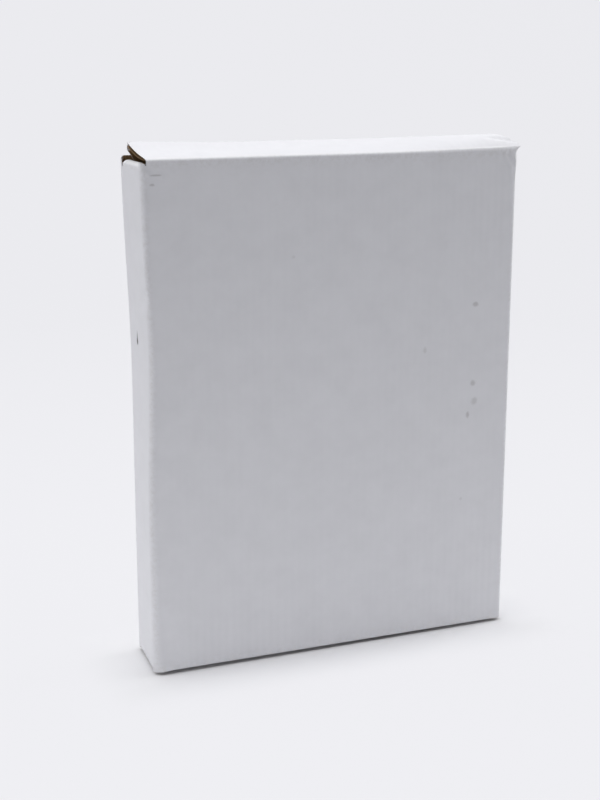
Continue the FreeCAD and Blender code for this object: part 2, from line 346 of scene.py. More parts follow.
def wave_tree():
    """Return the Geometry Nodes tree that waves a flat sheet into a fluted medium."""
    tree = bpy.data.node_groups.new("Fluted medium", "GeometryNodeTree")
    tree.interface.new_socket("Geometry", in_out="OUTPUT", socket_type="NodeSocketGeometry")
    for socket, kind in (("Geometry", "Geometry"), ("Pitch", "Float"), ("Wave height", "Float"),
                         ("Paper", "Float"), ("Material", "Material")):
        tree.interface.new_socket(socket, in_out="INPUT", socket_type="NodeSocket" + kind)
    inputs = add_node(tree, "NodeGroupInput")
    place = add_node(tree, "GeometryNodeInputPosition")
    across = add_node(tree, "ShaderNodeSeparateXYZ", {0: (place, 0)})
    turns = add_node(tree, "ShaderNodeMath", {0: (across, 0), 1: (inputs, "Pitch")},
                     operation="DIVIDE")
    phase = add_node(tree, "ShaderNodeMath", {0: (turns, 0), 1: 2 * math.pi}, operation="MULTIPLY")
    wave = add_node(tree, "ShaderNodeMath", {0: (phase, 0)}, operation="COSINE")
    half = add_node(tree, "ShaderNodeMath", {0: (inputs, "Wave height"), 1: 0.5},
                    operation="MULTIPLY")
    rise = add_node(tree, "ShaderNodeMath", {0: (wave, 0), 1: (half, 0)}, operation="MULTIPLY")
    offset = add_node(tree, "ShaderNodeCombineXYZ", {2: (rise, 0)})
    waved = add_node(tree, "GeometryNodeSetPosition",
                     {"Geometry": (inputs, "Geometry"), "Offset": (offset, 0)})
    thick = add_node(tree, "GeometryNodeExtrudeMesh",
                     {"Mesh": (waved, 0), "Offset": (0, 0, -1), "Offset Scale": (inputs, "Paper"),
                      "Individual": False}, mode="FACES")
    closed = add_node(tree, "GeometryNodeJoinGeometry", {0: (waved, 0)})
    tree.links.new(thick.outputs["Mesh"], closed.inputs[0])
    merged = add_node(tree, "GeometryNodeMergeByDistance", {"Geometry": (closed, 0), "Distance": WELD})
    real = add_node(tree, "GeometryNodeRealizeInstances", {0: (merged, 0)})
    dressed = add_node(tree, "GeometryNodeSetMaterial",
                       {"Geometry": (real, 0), "Material": (inputs, "Material")})
    add_node(tree, "NodeGroupOutput", {0: (dressed, 0)})
    return tree


def fluting(name, sheet, lay):
    """Make the waved medium of a board and lay it in its place."""
    size = sizes()
    x, y, grid = sheet
    drawing = bpy.data.meshes.new(name + "_sheet")
    drawing.from_pydata(np.stack([x, y, 0 * x], 1).tolist(), [], grid_faces(grid).tolist())
    maker = show(name + "_sheet", drawing)
    tree = bpy.data.node_groups.get("Fluted medium") or wave_tree()
    modifier = maker.modifiers.new("Fluted medium", "NODES")
    modifier.node_group = tree
    wave_height = size.core - size.medium
    values = {"Pitch": size.pitch, "Wave height": wave_height, "Paper": size.medium,
              "Material": finish("recycled medium")}
    for socket in tree.interface.items_tree:
        if socket.name in values:
            modifier[socket.identifier] = values[socket.name]
    bpy.context.view_layer.update()
    ready = maker.evaluated_get(bpy.context.evaluated_depsgraph_get())
    mesh = bpy.data.meshes.new_from_object(ready)
    mesh.name = name
    bpy.data.objects.remove(maker)
    drawn = np.empty(len(mesh.vertices) * 3)
    mesh.vertices.foreach_get("co", drawn)
    drawn = drawn.reshape(-1, 3)
    mid_wave = size.outer_liner + wave_height / 2
    laid = lay(drawn[:, 0], drawn[:, 1], mid_wave - drawn[:, 2])
    mesh.vertices.foreach_set("co", laid.ravel())
    finish_mesh(mesh, drawn[:, :2])
    return show(name, mesh)


# Materials

def rgba(value):
    return (*value, 1.0)


def new_material(name):
    """Return a material without nodes, its tree and the coordinates for its patterns."""
    material = bpy.data.materials.new(name)
    material.use_nodes = True
    tree = material.node_tree
    tree.nodes.clear()
    return material, tree, add_node(tree, "ShaderNodeTexCoord")


def add_surface(tree, inputs):
    """Add the surface of an opaque material and show it."""
    surface = add_node(tree, "ShaderNodeBsdfPrincipled", inputs)
    add_node(tree, "ShaderNodeOutputMaterial", {"Surface": (surface, 0)})


def washboard(tree, place, height):
    """Add the flutes as they show through a flat paper, as a relief of this height."""
    across = add_node(tree, "ShaderNodeSeparateXYZ", {0: (place, "UV")})
    phase = add_node(tree, "ShaderNodeMath", {0: (across, 0), 1: 2 * math.pi / sizes().pitch},
                     operation="MULTIPLY")
    wave = add_node(tree, "ShaderNodeMath", {0: (phase, 0)}, operation="COSINE")
    return add_node(tree, "ShaderNodeBump", {"Height": (wave, 0), "Strength": 1.0, "Distance": height})


def white_liner(name, marks=()):
    """Bleached paper with a thin clay coat, calendered: matt, faintly cloudy, with the flutes
    just showing through as a washboard and the coat rubbed grey along the folds."""
    cloud_size, grain_size = 9 * MM, 1.6 * MM
    # The fibres of the coat are about 0.05 mm, drawn at 0.5 mm so that they show in the render
    fibre_size = 0.5 * MM
    tint = bpy.context.scene.carton_colours
    material, tree, place = new_material(name)
    cloud = add_node(tree, "ShaderNodeTexNoise", {
        "Vector": (place, "Object"), "Scale": 1 / cloud_size, "Detail": 4.0, "Roughness": 0.6})
    patch = add_node(tree, "ShaderNodeMapRange", {
        "Value": (cloud, "Fac"), "From Min": 0.35, "From Max": 0.75})
    base = add_node(tree, "ShaderNodeMix", {
        "Factor": (patch, 0), 6: rgba(tint.white), 7: rgba(tint.white_cloud)}, data_type="RGBA")
    rubbed = add_node(tree, "ShaderNodeAttribute", attribute_name="rubbed")
    grain = add_node(tree, "ShaderNodeTexNoise", {
        "Vector": (place, "Object"), "Scale": 1 / grain_size, "Detail": 5.0, "Roughness": 0.7})
    worn = add_node(tree, "ShaderNodeMapRange", {
        "Value": (grain, "Fac"), "From Min": 0.42, "From Max": 0.72})
    wear = add_node(tree, "ShaderNodeMath", {0: (worn, 0), 1: (rubbed, "Fac")},
                    operation="MULTIPLY")
    shade = add_node(tree, "ShaderNodeMix", {
        "Factor": (wear, 0), 6: (base, 2), 7: rgba(tint.scuff)}, data_type="RGBA")
    # Each mark is painted over the coat: grime, painted shade along two dents and painted shade inside the
    # tear
    for centre, reach, strength, ink in marks:
        shift = add_node(tree, "ShaderNodeVectorMath", {
            0: (place, "UV"), 1: (*centre, 0)}, operation="SUBTRACT")
        scale = add_node(tree, "ShaderNodeVectorMath", {
            0: (shift, 0), 1: (1 / reach[0], 1 / reach[1], 0)}, operation="MULTIPLY")
        far = add_node(tree, "ShaderNodeVectorMath", {0: (scale, 0)}, operation="LENGTH")
        rough = add_node(tree, "ShaderNodeMath", {0: (grain, "Fac"), 1: 0.9, 2: (far, "Value")},
                         operation="MULTIPLY_ADD")
        mask = add_node(tree, "ShaderNodeMapRange", {
            "Value": (rough, 0), "From Min": 1.45, "From Max": 0.85, "To Max": strength})
        shade = add_node(tree, "ShaderNodeMix", {
            "Factor": (mask, 0), 6: (shade, 2), 7: rgba(ink)}, data_type="RGBA")
    fibre = add_node(tree, "ShaderNodeTexNoise", {
        "Vector": (place, "Object"), "Scale": 1 / fibre_size, "Detail": 3.0})
    tooth = add_node(tree, "ShaderNodeBump", {
        "Height": (fibre, "Fac"), "Strength": 0.5, "Distance": 0.03 * MM,
        "Normal": (washboard(tree, place, 0.008 * MM), 0)})
    add_surface(tree, {"Base Color": (shade, 2), "Normal": (tooth, 0), "Roughness": 0.62, "IOR": 1.46})
    return material


def kraft_paper(name, light, dark, fibre_length, ridge_height):
    """Unbleached machine-made paper: brown, dull, with long fibres and dark flecks in it."""
    fibre_width, fleck_size = 0.6 * MM, 1.1 * MM
    material, tree, place = new_material(name)
    lie = add_node(tree, "ShaderNodeMapping", {
        "Vector": (place, "UV"), "Scale": (1 / fibre_width, 1 / fibre_length, 1)})
    fibre = add_node(tree, "ShaderNodeTexNoise", {
        "Vector": (lie, 0), "Scale": 1.0, "Detail": 6.0, "Roughness": 0.65})
    streak = add_node(tree, "ShaderNodeMapRange", {
        "Value": (fibre, "Fac"), "From Min": 0.3, "From Max": 0.72})
    base = add_node(tree, "ShaderNodeMix", {
        "Factor": (streak, 0), 6: rgba(light), 7: rgba(dark)}, data_type="RGBA")
    fleck = add_node(tree, "ShaderNodeTexNoise", {
        "Vector": (place, "Object"), "Scale": 1 / fleck_size, "Detail": 2.0})
    speck = add_node(tree, "ShaderNodeMapRange", {
        "Value": (fleck, "Fac"), "From Min": 0.64, "From Max": 0.74, "To Max": 0.5})
    flecked = add_node(tree, "ShaderNodeMix", {
        "Factor": (speck, 0), 6: (base, 2), 7: rgba([c * 0.6 for c in dark])}, data_type="RGBA")
    tooth = add_node(tree, "ShaderNodeBump", {
        "Height": (fibre, "Fac"), "Strength": 0.6, "Distance": 0.06 * MM,
        "Normal": (washboard(tree, place, ridge_height), 0)})
    add_surface(tree, {"Base Color": (flecked, 2), "Normal": (tooth, 0), "Roughness": 0.86, "IOR": 1.45})
    return material


def dried_glue(name):
    """Water-based paper glue, dried: cream, half matt, thicker and thinner where it was rolled on."""
    streak_size = 4 * MM
    glue = bpy.context.scene.carton_colours.glue
    material, tree, place = new_material(name)
    spread = add_node(tree, "ShaderNodeTexNoise", {
        "Vector": (place, "Object"), "Scale": 1 / streak_size, "Detail": 3.0})
    shade = add_node(tree, "ShaderNodeMix", {
        "Factor": (spread, "Fac"), 6: rgba(glue), 7: rgba([c * 0.72 for c in glue])},
        data_type="RGBA")
    swell = add_node(tree, "ShaderNodeBump", {
        "Height": (spread, "Fac"), "Strength": 0.5, "Distance": 0.05 * MM})
    add_surface(tree, {"Base Color": (shade, 2), "Normal": (swell, 0), "Roughness": 0.45, "IOR": 1.47})
    return material


def finish(name):
    """Return one of the carton's finishes, made the first time it is asked for."""
    tint = bpy.context.scene.carton_colours
    makers = {
        "coated white liner": (white_liner,),
        "coated white liner, handled": (white_liner, wall_marks()),
        "kraft liner": (kraft_paper, tint.kraft, tint.kraft_dark, 5 * MM, 0.02 * MM),
        "recycled medium": (kraft_paper, tint.medium, tint.medium_dark, 3 * MM, 0),
        "crushed board": (kraft_paper, tint.kraft, tint.medium_dark, 1.2 * MM, 0),
        "dried paper glue": (dried_glue,),
    }
    maker, *details = makers[name]
    return bpy.data.materials.get(name) or maker(name, *details)


# The wall: one strip of board, wrapped from the right panel's cut edge to the glue flap

Stretch = namedtuple("Stretch", "name at span point before after")

# How far each side of its corner an upright fold bends the strip, and less at the glue flap's fold
CORNER_REACH = 8 * MM
SEAM_REACH = 4 * MM
# Steps between the columns of points, on the panels and in the folds
WALL_STEP = 1.6 * MM
BEND_STEP = 0.55 * MM
# How far a column that ends a cut stands beside the next one
CUT_STEP = 0.06 * MM
EDGE_STEP = 0.01 * MM
# The rows of points stand closer together at the kink and at the top, as shares of the height
ROW_BANDS = (0, 0.62, 0.82, 0.94, 1)
TINY = 1e-9


def wall_stretches():
    """Return the strip's stretches: name, start along it, length, a point and the headings there.

    A flat starts at its point and has one heading. A bend turns at its point between two headings.
    """
    size = sizes()
    x, y = size.width / 2, size.depth / 2
    seam = x - board() - SEAM_GAP
    reach, short = CORNER_REACH, SEAM_REACH
    left, right, front, back = (-1, 0), (1, 0), (0, -1), (0, 1)
    runs = (
        ("right", 2 * y - reach, (x, y), front, front),
        ("front_right", 2 * reach, (x, -y), front, left),
        ("front", 2 * x - 2 * reach, (x - reach, -y), left, left),
        ("front_left", 2 * reach, (-x, -y), left, back),
        ("left", 2 * y - 2 * reach, (-x, reach - y), back, back),
        ("back_left", 2 * reach, (-x, y), back, right),
        ("back", seam - short - reach + x, (reach - x, y), right, right),
        ("back_right", 2 * short, (seam, y), right, front),
        ("glue", size.glue_flap - short + size.corner_radius, (seam, y - short), front, front),
    )
    stretches, at = {}, 0.0
    for name, span, *place in runs:
        stretches[name] = Stretch(name, at, span, *place)
        at += span
    return stretches


def is_bend(stretch):
    """Return whether a stretch is an upright fold."""
    return stretch.before != stretch.after


def middle(name):
    """Return where the middle of a stretch is along the strip."""
    stretch = wall_stretches()[name]
    return stretch.at + stretch.span / 2


# The front left fold softens downwards in steps: share, height where it starts and reach in mm
FOLD_SOFTENING = ((0.22, 162, 34), (0.13, 110, 100), (0.40, 22, 22))
# The left wall leans out above its kink, is pressed in below it, and is out of square at the foot
LEFT_LEAN = 1.8 * MM
LEFT_PRESS = 0.2 * MM
LEFT_SKEW = 1.75 * MM
# The broad panels are slack: a shallow hollow and a faint ripple
HOLLOW = 0.4 * MM
RIPPLE = 0.07 * MM
# The front left fold is kinked inwards, and its board swells beside and below the kink
KINK_HEIGHT = 156 * MM
KINK_DEPTH = 0.75 * MM
KINK_SWELL = 0.30 * MM
# A soft crease runs down across the left panel from the kink: from and to, past the fold and z
PLEAT = ((3 * MM, 158 * MM), (13 * MM, 150 * MM))
PLEAT_DEPTH = 0.22 * MM
PLEAT_LIP = 0.12 * MM
# The top right corner was knocked: the wall bellies out just under the lid
KNOCK_HEIGHT = 198 * MM
KNOCK = 0.2 * MM
# Dents in the front below its top corners: from and to, x from the middle and z, and depth in mm
FRONT_DENTS = (((-79.5, 208.2), (-77.3, 204.4), 0.36), ((-77.3, 204.2), (-73.0, 203.7), 0.24),
               ((-77.4, 200.4), (-76.0, 200.2), 0.12), ((75.6, 207.4), (77.4, 204.4), 0.30),
               ((78.3, 204.2), (78.5, 199.5), 0.18))


def bend_radius(name, z):
    """Return the radius of an upright fold: the front left one is crisp above and soft below."""
    size = sizes()
    if name == "front_left":
        soft = sum(share * ease((start * MM - z) / (reach * MM)) for share, start, reach in FOLD_SOFTENING)
        return size.crisp_radius + (size.soft_radius - size.crisp_radius) * soft
    return np.full_like(z, size.corner_radius if name == "back_right" else size.crisp_radius)


def left_shift(y, z):
    """Return how far the left wall stands out: leaning above, and pushed out of square below."""
    lean = LEFT_LEAN * ease((z - 125 * MM) / (85 * MM)) - LEFT_PRESS * hump(z - 120 * MM, 42 * MM)
    to_front = np.clip(0.5 - y / sizes().depth, 0, 1)
    return lean + LEFT_SKEW * ease((145 * MM - z) / (85 * MM)) * to_front


def wall_form(name, x, y, z, s):
    """Return how far the handled wall stands out from its drawn place."""
    size = sizes()
    across, up = x / (size.width / 2), z / (size.height / 2) - 1
    out = np.zeros_like(z)
    if name in ("front", "back", "front_left", "front_right", "back_left"):
        slack = np.clip(1 - across ** 2, 0, 1) * np.clip(1 - up ** 2, 0, 1)
        ripple = np.sin(x / (17 * MM) + 1.3 + up) * np.sin(z / (26 * MM))
        out += slack * (RIPPLE * ripple - HOLLOW)
    if name == "left":
        out += left_shift(y, z)
    past = s - middle("front_left")
    out -= KINK_DEPTH * hump(past, 4.5 * MM) * hump(z - KINK_HEIGHT, 4 * MM)
    out += KINK_SWELL * hump(past - 4 * MM, 3 * MM) * hump(z - KINK_HEIGHT + 6 * MM, 6 * MM)
    pleat = line_distance(past, z, *PLEAT)
    out += PLEAT_LIP * hump(pleat - 2.4 * MM, 1.8 * MM) - PLEAT_DEPTH * hump(pleat, 1.6 * MM)
    if name in ("front", "front_left", "front_right"):
        for start, end, depth in FRONT_DENTS:
            gap = line_distance(x, z, np.array(start) * MM, np.array(end) * MM)
            out -= depth * MM * hump(gap, 0.7 * MM)
            out += 0.4 * depth * MM * hump(gap - 1.5 * MM, 0.9 * MM)
    knock = hump(s - middle("front_right"), 9 * MM) * ease((z - KNOCK_HEIGHT) / (9 * MM))
    return out + KNOCK * knock


def follow(stretch, gone, z):
    """Return the places and outward normals of points that have gone some way along a stretch."""
    headings = np.array([stretch.before, stretch.after], float)
    before, after = headings
    first, second = np.column_stack([-headings[:, 1], headings[:, 0]])
    if not is_bend(stretch):
        return np.array(stretch.point) + gone[:, None] * before, np.tile(first, (len(gone), 1))
    radius = bend_radius(stretch.name, z)
    straight = stretch.span / 2 - radius
    arc = radius * math.pi / 2
    gone = gone / stretch.span * (2 * straight + arc)
    turn = np.clip((gone - straight) / radius, 0, math.pi / 2)
    normal = np.cos(turn)[:, None] * first + np.sin(turn)[:, None] * second
    spot = np.array(stretch.point) + radius[:, None] * (normal - first - second)
    spot += np.minimum(gone - straight, 0)[:, None] * before
    spot += np.maximum(gone - straight - arc, 0)[:, None] * after
    return spot, normal


def lay_wall(s, z, d):
    """Put points of the flat strip, a depth below its outer face, in their place on the wall."""
    placed = np.zeros((len(s), 3))
    for stretch in wall_stretches().values():
        before_end = (s < stretch.at + stretch.span - TINY) | (stretch.name == "glue")
        on = (s >= stretch.at - TINY) & before_end
        if not on.any():
            continue
        high = z[on]
        spot, normal = follow(stretch, s[on] - stretch.at, high)
        form = wall_form(stretch.name, spot[:, 0], spot[:, 1], high, s[on])
        spot = spot + (form - d[on])[:, None] * normal
        if stretch.name in ("front_left", "back_left"):
            # The folds beside the left wall go over into its lean
            share = np.clip(1 - (spot[:, 0] + sizes().width / 2) / CORNER_REACH, 0, 1)
            spot[:, 0] -= left_shift(spot[:, 1], high) * share
        placed[on] = np.column_stack([spot, high])
    return placed


# Heights of the front's cut edge, which hangs lower at both ends, and of the cuts beside the back
FRONT_EDGE = 1.8 * MM
FRONT_RIGHT_DROP = 0.3 * MM
FRONT_LEFT_DROP = 0.5 * MM
BACK_CUT = 2.0 * MM
BACK_DIP = 0.5 * MM
# How much higher the leaning fold stands beside the end of the lid's crease
FOLD_TOP = 0.9 * MM
# How far the glue flap's ends are cut back at its fold, and how much more at its free edge
GLUE_CUT = 8 * MM
GLUE_TAPER = 6 * MM
# How far from its ends the wall is looked up to see which panel or fold a column is on
LOOK_IN = 3 * MM


def wall_ends(s):
    """Return the height of the strip's lower and upper edge at each column."""
    size = sizes()
    stretches = wall_stretches()
    hinge = size.fold_radius + crease_reach()
    side = hinge + board() + DUST_GAP
    corner = size.depth / 2 - size.corner_radius
    glue = s > stretches["glue"].at
    taper = GLUE_CUT + GLUE_TAPER * (s[glue] - stretches["glue"].at) / size.glue_flap
    ends = []
    for bottom in (True, False):
        z = LOOK_IN if bottom else size.height - LOOK_IN
        x, y = lay_wall(s, np.full_like(s, z), 0 * s)[:, :2].T
        on_side = (np.abs(x) > size.width / 2 - 4 * MM) & (np.abs(y) < corner - 0.02 * MM)
        on_side |= s < stretches["right"].span
        if bottom:
            end = FRONT_EDGE - FRONT_RIGHT_DROP * np.clip(x / size.width + 0.5, 0, 1)
            end -= FRONT_LEFT_DROP * ease((-x - 73 * MM) / (7 * MM))
            end[y > corner] = BACK_CUT
            end[y > size.depth / 2 - 0.3 * MM] = hinge
            end[on_side] = side
            end[glue] = side + taper
        else:
            rise = ease((y - corner) / size.corner_radius)
            end = size.height - hinge + np.where(y > corner, rise * BACK_CUT - (1 - rise) * BACK_DIP, 0)
            end[on_side] = size.height - side
            beside = -x - size.width / 2 + 0.5 * MM
            end += np.where((y < 0) & ~on_side, FOLD_TOP * ease(beside / (0.8 * MM)), 0)
            end[glue] = size.height - side - taper
        ends.append(end)
    return ends


def wall_columns(step):
    """Return where the strip's columns stand: close together round the folds and at the cuts."""
    radius = sizes().corner_radius
    columns = []
    for stretch in wall_stretches().values():
        bend = is_bend(stretch)
        start, end = stretch.at, stretch.at + stretch.span
        count = int(stretch.span / (min(step, BEND_STEP) if bend else step)) + 1
        columns.extend(np.linspace(start, end, max(2, count), endpoint=False))
        if stretch.name == "right":
            columns.append(end - EDGE_STEP)
        elif bend and stretch.name != "back_right":
            straight = stretch.span / 2 - radius
            cut = straight / (2 * straight + radius * math.pi / 2) * stretch.span
            columns += [start + cut - CUT_STEP, start + cut, end - cut, end - cut + CUT_STEP]
    columns.append(end)
    return np.unique(np.round(columns, 8))


def wall_rows(*counts):
    """Return where the strip's rows stand, as shares of its height, with so many in each band."""
    bands = zip(ROW_BANDS[:-1], ROW_BANDS[1:], counts)
    return np.unique(np.concatenate([np.linspace(*band) for band in bands]))


def wall_rubbed(s, z):
    """Return how rubbed the coat is: along the upright folds and at the top and bottom."""
    rub = 0.5 * hump(np.minimum(z, sizes().height - z), 4 * MM)
    for name, stretch in wall_stretches().items():
        if is_bend(stretch):
            rub = np.maximum(rub, 0.55 * hump(s - middle(name), 1.7 * MM))
    return np.clip(rub, 0, 1)


# Dirt on the front, and painted shade along two of its dents at the top left (the sixth and seventh marks): x
# from the middle, z, half sizes in mm and strength
DIRT_AND_DENT_SHADE = ((62.4, 145.6, 1.7, 1.4, 0.30), (39.1, 127.4, 1.0, 1.8, 0.17), (62.2, 111.4, 1.6, 1.6, 0.29),
        (63.1, 103.4, 2.0, 2.0, 0.22), (60.1, 97.6, 1.0, 1.8, 0.30), (-76.6, 200.3, 1.1, 0.7, 0.30),
        (-75.2, 203.9, 2.5, 0.45, 0.32), (58.0, 60.0, 0.9, 0.9, 0.12), (-20.0, 170.0, 1.0, 0.9, 0.10))
# The small tear in the left panel, as two strokes of painted shade inside it: distance behind the panel's
# middle, and the same
TEAR = ((2.7, 138.8, 0.75, 3.0, 0.75), (2.8, 137.0, 1.20, 1.6, 0.95))


def wall_marks():
    """Return the marks of grime, painted shade along two dents and painted shade inside the tear: centre on
    the flat strip, half sizes, strength and colour.
    """
    tint = bpy.context.scene.carton_colours
    # The strip runs to the left along the front, and to the back along the left panel
    return [((middle(panel) + way * x * MM, z * MM), (wide * MM, tall * MM), strength, tuple(ink))
            for panel, way, marks, ink in (("front", -1, DIRT_AND_DENT_SHADE, tint.dirt_and_dent_shade), ("left", 1, TEAR, tint.slit))
            for x, z, wide, tall, strength in marks]


# Flaps: each is drawn from its own crease, x along it and y away from it

Flap = namedtuple("Flap", "spot along away normal parent reach outline")
FLAP_STEP = 1.5 * MM
FLAP_ROWS = np.linspace(0, 1, 22)


def spun(vector, axis, turn):
    """Return a vector turned about an axis."""
    return (vector * math.cos(turn) + np.cross(axis, vector) * math.sin(turn)
            + axis * (axis @ vector) * (1 - math.cos(turn)))


def folded(pivot, along, away, *turns):
    """Return a flap's frame at rest: its pivot and its directions after the turns."""
    spot = pivot
    for centre, axis, turn in turns:
        spot = centre + spun(spot - centre, axis, turn)
        along, away = spun(along, axis, turn), spun(away, axis, turn)
    return spot, along, away, np.cross(along, away)


def flap_table():
    """Return each flap: its rest frame, its parent, the parent's way to the crease, and its outline."""
    size, fold = sizes(), bpy.context.scene.carton_folds
    right, back, up = np.eye(3)
    radius = size.fold_radius
    hinge_y, hinge_z = size.depth / 2 - radius, size.height - radius
    tuck_y = lid_span() - hinge_y
    dust_x, dust_z = size.width / 2 - radius, hinge_z - board() - DUST_GAP
    lid_at, lid_tuck_at = np.array([0, -hinge_y, hinge_z]), np.array([0, tuck_y, hinge_z])
    bottom_at, bottom_tuck_at = np.array([0, hinge_y, radius]), np.array([0, -tuck_y, radius])
    opened = (lid_at, right, fold.lid)
    lid = folded(lid_at, right, back, opened)
    lid_tuck = folded(lid_tuck_at, right, -up, (lid_tuck_at, right, -fold.lid_tuck), opened)
    bottom = folded(bottom_at, right, -back)
    bottom_tuck = folded(bottom_tuck_at, right, up, (bottom_tuck_at, right, -fold.bottom_tuck))
    table = {
        "lid": Flap(*lid, "carton_tube", up, "lid"),
        "lid_tuck": Flap(*lid_tuck, "lid", lid[2], "tuck"),
        "bottom_panel": Flap(*bottom, "carton_tube", -up, "lid"),
        "bottom_tuck": Flap(*bottom_tuck, "bottom_panel", -back, "tuck"),
    }
    for side, sign in (("left", -1), ("right", 1)):
        top_turn = fold.top_left_dust if side == "left" else fold.top_right_dust
        for end, facing, z, turn in (("top", 1, dust_z, top_turn),
                                     ("bottom", -1, size.height - dust_z, fold.bottom_dust)):
            pivot = np.array([sign * dust_x, 0, z])
            rest = folded(pivot, facing * sign * back, -sign * right, (pivot, back, -facing * sign * turn))
            table[f"{end}_{side}_dust_flap"] = Flap(*rest, "carton_tube", facing * up, side + "_dust")
    return table


def crease_setback(top, bottom):
    """Return how far from its crease a paper between two depths starts, to clear the bead."""
    size = sizes()
    near = 0.0
    if size.fold_radius < top or size.fold_radius > bottom:
        near = min(abs(size.fold_radius - top), abs(size.fold_radius - bottom))
    return math.sqrt(max(crease_reach() ** 2 - near ** 2, size.crease_gap ** 2))


def rounded(corners):
    """Return the points of an outline whose (x, y, radius) corners are rounded."""
    points = []
    for i, (x, y, radius) in enumerate(corners):
        corner = np.array([x, y])
        if radius == 0:
            points.append(corner)
            continue
        back = np.array(corners[i - 1][:2]) - corner
        ahead = np.array(corners[i + 1][:2]) - corner
        back, ahead = back / np.linalg.norm(back), ahead / np.linalg.norm(ahead)
        half = math.acos(back @ ahead) / 2
        centre = corner + (back + ahead) / np.linalg.norm(back + ahead) * radius / math.sin(half)
        start = corner + back * radius / math.tan(half) - centre
        end = corner + ahead * radius / math.tan(half) - centre
        for t in np.linspace(0, 1, 9):
            spoke = start * (1 - t) + end * t
            points.append(centre + spoke * radius / np.linalg.norm(spoke))
    return points


def flap_edge(outline, start):
    """Return the free edge of a flap from its left end to its right: points (x, y)."""
    size = sizes()
    near = start + CUT_START
    if outline == "lid":
        end = lid_span() - crease_reach()
        return [(-lid_half(), end), (lid_half(), end)]
    if outline == "tuck":
        first, half = tuck_ends()
        tip = half - TUCK_TAPER
        return rounded([(first, near, 0), (-half, TUCK_SHOULDER, 0),
                        (-tip, size.tuck_length, TUCK_CORNER), (tip, size.tuck_length, TUCK_CORNER),
                        (half, near, 0)])
    tuck, hinge, reach = DUST_TUCK_CUT - size.depth / 2, dust_half(), size.dust_length
    corners = [(tuck + near * DUST_TUCK_SLOPE, near, 0), (tuck + reach * DUST_TUCK_SLOPE, reach, DUST_CORNER),
               (hinge - reach * DUST_HINGE_SLOPE, reach, DUST_CORNER),
               (hinge - near * DUST_HINGE_SLOPE, near, 0)]
    if outline == "right_dust":
        corners = [(-x, y, radius) for x, y, radius in reversed(corners)]
    return rounded(corners)


def flap_sheet(outline, start, step):
    """Return a flap as a flat sheet that starts some way from its crease."""
    edge = np.array(flap_edge(outline, start))
    between = [np.linspace(a, b, max(2, int(abs(b - a) / step) + 1))
               for a, b in zip(edge[:-1, 0], edge[1:, 0])]
    columns = np.unique(np.round(np.concatenate(between), 8))
    ends = np.interp(columns, edge[:, 0], edge[:, 1])
    return flat_sheet(columns, np.full_like(columns, start), ends, FLAP_ROWS)


# How far in from the sides the bottom panel starts to rise, and the depth its dust flaps rise over
RISE_INSET = 2 * MM
RISE_DEPTH = 24 * MM
# The lid's right end is arched from here on, and its front corner is splayed over this reach
ARCH_START = 18 * MM
EAR_REACH = 7 * MM
# The lid's left end has shifted outwards, more at its back, which also stands up
LEFT_SHIFT = 1.2 * MM
LEFT_SHIFT_BACK = 0.5 * MM
LEFT_LIFT = 1.1 * MM
# The pleat in the knocked corner, the sag of the left half and the lid's faint ripple
EAR_PLEAT = 1.0 * MM
LID_SAG = 0.35 * MM
LID_RIPPLE = 0.10 * MM
# The tuck's root has shifted with the lid, and its free part leans in
TUCK_SHIFT = 2.7 * MM
TUCK_LEAN = 0.2 * MM
BOTTOM_BOW = 0.10 * MM
FREE_END_CURL = 0.25 * MM
# How much of the board's thickness is crushed at the left end of the lid's crease
CRUSHED_SHARE = 0.45


def bottom_rise(x, t):
    """Return how far the tucked front of the bottom panel has been pushed up off the table."""
    size = sizes()
    aside = np.clip(np.abs(x) / (size.width / 2 - RISE_INSET), 0, 1)
    return size.bottom_rise * t ** 3 * (1 - aside ** 4)


def lid_form(x, y, t):
    """Return how the handled lid slides along its crease and stands out."""
    size, end = sizes(), lid_half()
    arch = ease((x - ARCH_START) / (end - ARCH_START))
    lift = 0.10 * (1 - t) ** 2 + 4.7 * t * (1 - t) * (1 - 0.35 * t)
    splay = size.ear * hump(end - x, EAR_REACH) * hump(y - 1 * MM, EAR_REACH)
    pleat = line_distance(x, y, (end - 6 * MM, 9 * MM), (end - 0.3 * MM, 4.5 * MM))
    left = ease((-x - 40 * MM) / (38 * MM))
    sag = LID_RIPPLE * np.sin(x / (21 * MM) + 0.6) - LID_SAG * ease(-x / (60 * MM))
    slide = 1.6 * splay - (LEFT_SHIFT + LEFT_SHIFT_BACK * t) * left
    out = size.lid_arch * arch * lift + 0.15 * splay + LEFT_LIFT * left * t ** 2
    return slide, out - EAR_PLEAT * hump(pleat, 1.4 * MM) + sag * np.sin(math.pi * t)


def flap_form(name, x, y):
    """Return how a handled flap leaves its flat drawing: along its crease, away and outwards."""
    size = sizes()
    slide, push = np.zeros_like(x), np.zeros_like(x)
    t = np.clip(y / lid_span(), 0, 1)
    if name == "lid":
        slide, out = lid_form(x, y, t)
    elif name == "lid_tuck":
        root = np.clip(1 - y / (9 * MM), 0, 1)
        slide = -TUCK_SHIFT * ease((-x - 45 * MM) / (32 * MM)) * root
        out = -TUCK_LEAN * (1 - root)
    elif name == "bottom_panel":
        bow = np.sin(math.pi * t) * (1 + np.sin(x / (24 * MM)))
        out = -BOTTOM_BOW * bow - bottom_rise(x, t)
    else:
        far = np.clip(y / size.dust_length, 0, 1)
        out = -FREE_END_CURL * far ** 2 * (0.6 + 0.4 * np.cos(x / (15 * MM)))
        if name == "bottom_tuck":
            push = bottom_rise(x, np.ones_like(x))
        elif name.startswith("bottom"):
            # The dust flaps lie on the raised bottom panel and rise with it
            front = np.clip(0.5 - x * flap_table()[name].along[1] / RISE_DEPTH, 0, 1)
            out -= bottom_rise(size.width / 2 - RISE_INSET - y, front)
    return slide, push, out


def moved(flap, slide, push, out):
    """Return a flap's shifts along its crease, away from it and outwards as vectors."""
    return np.outer(slide, flap.along) + np.outer(push, flap.away) + np.outer(out, flap.normal)


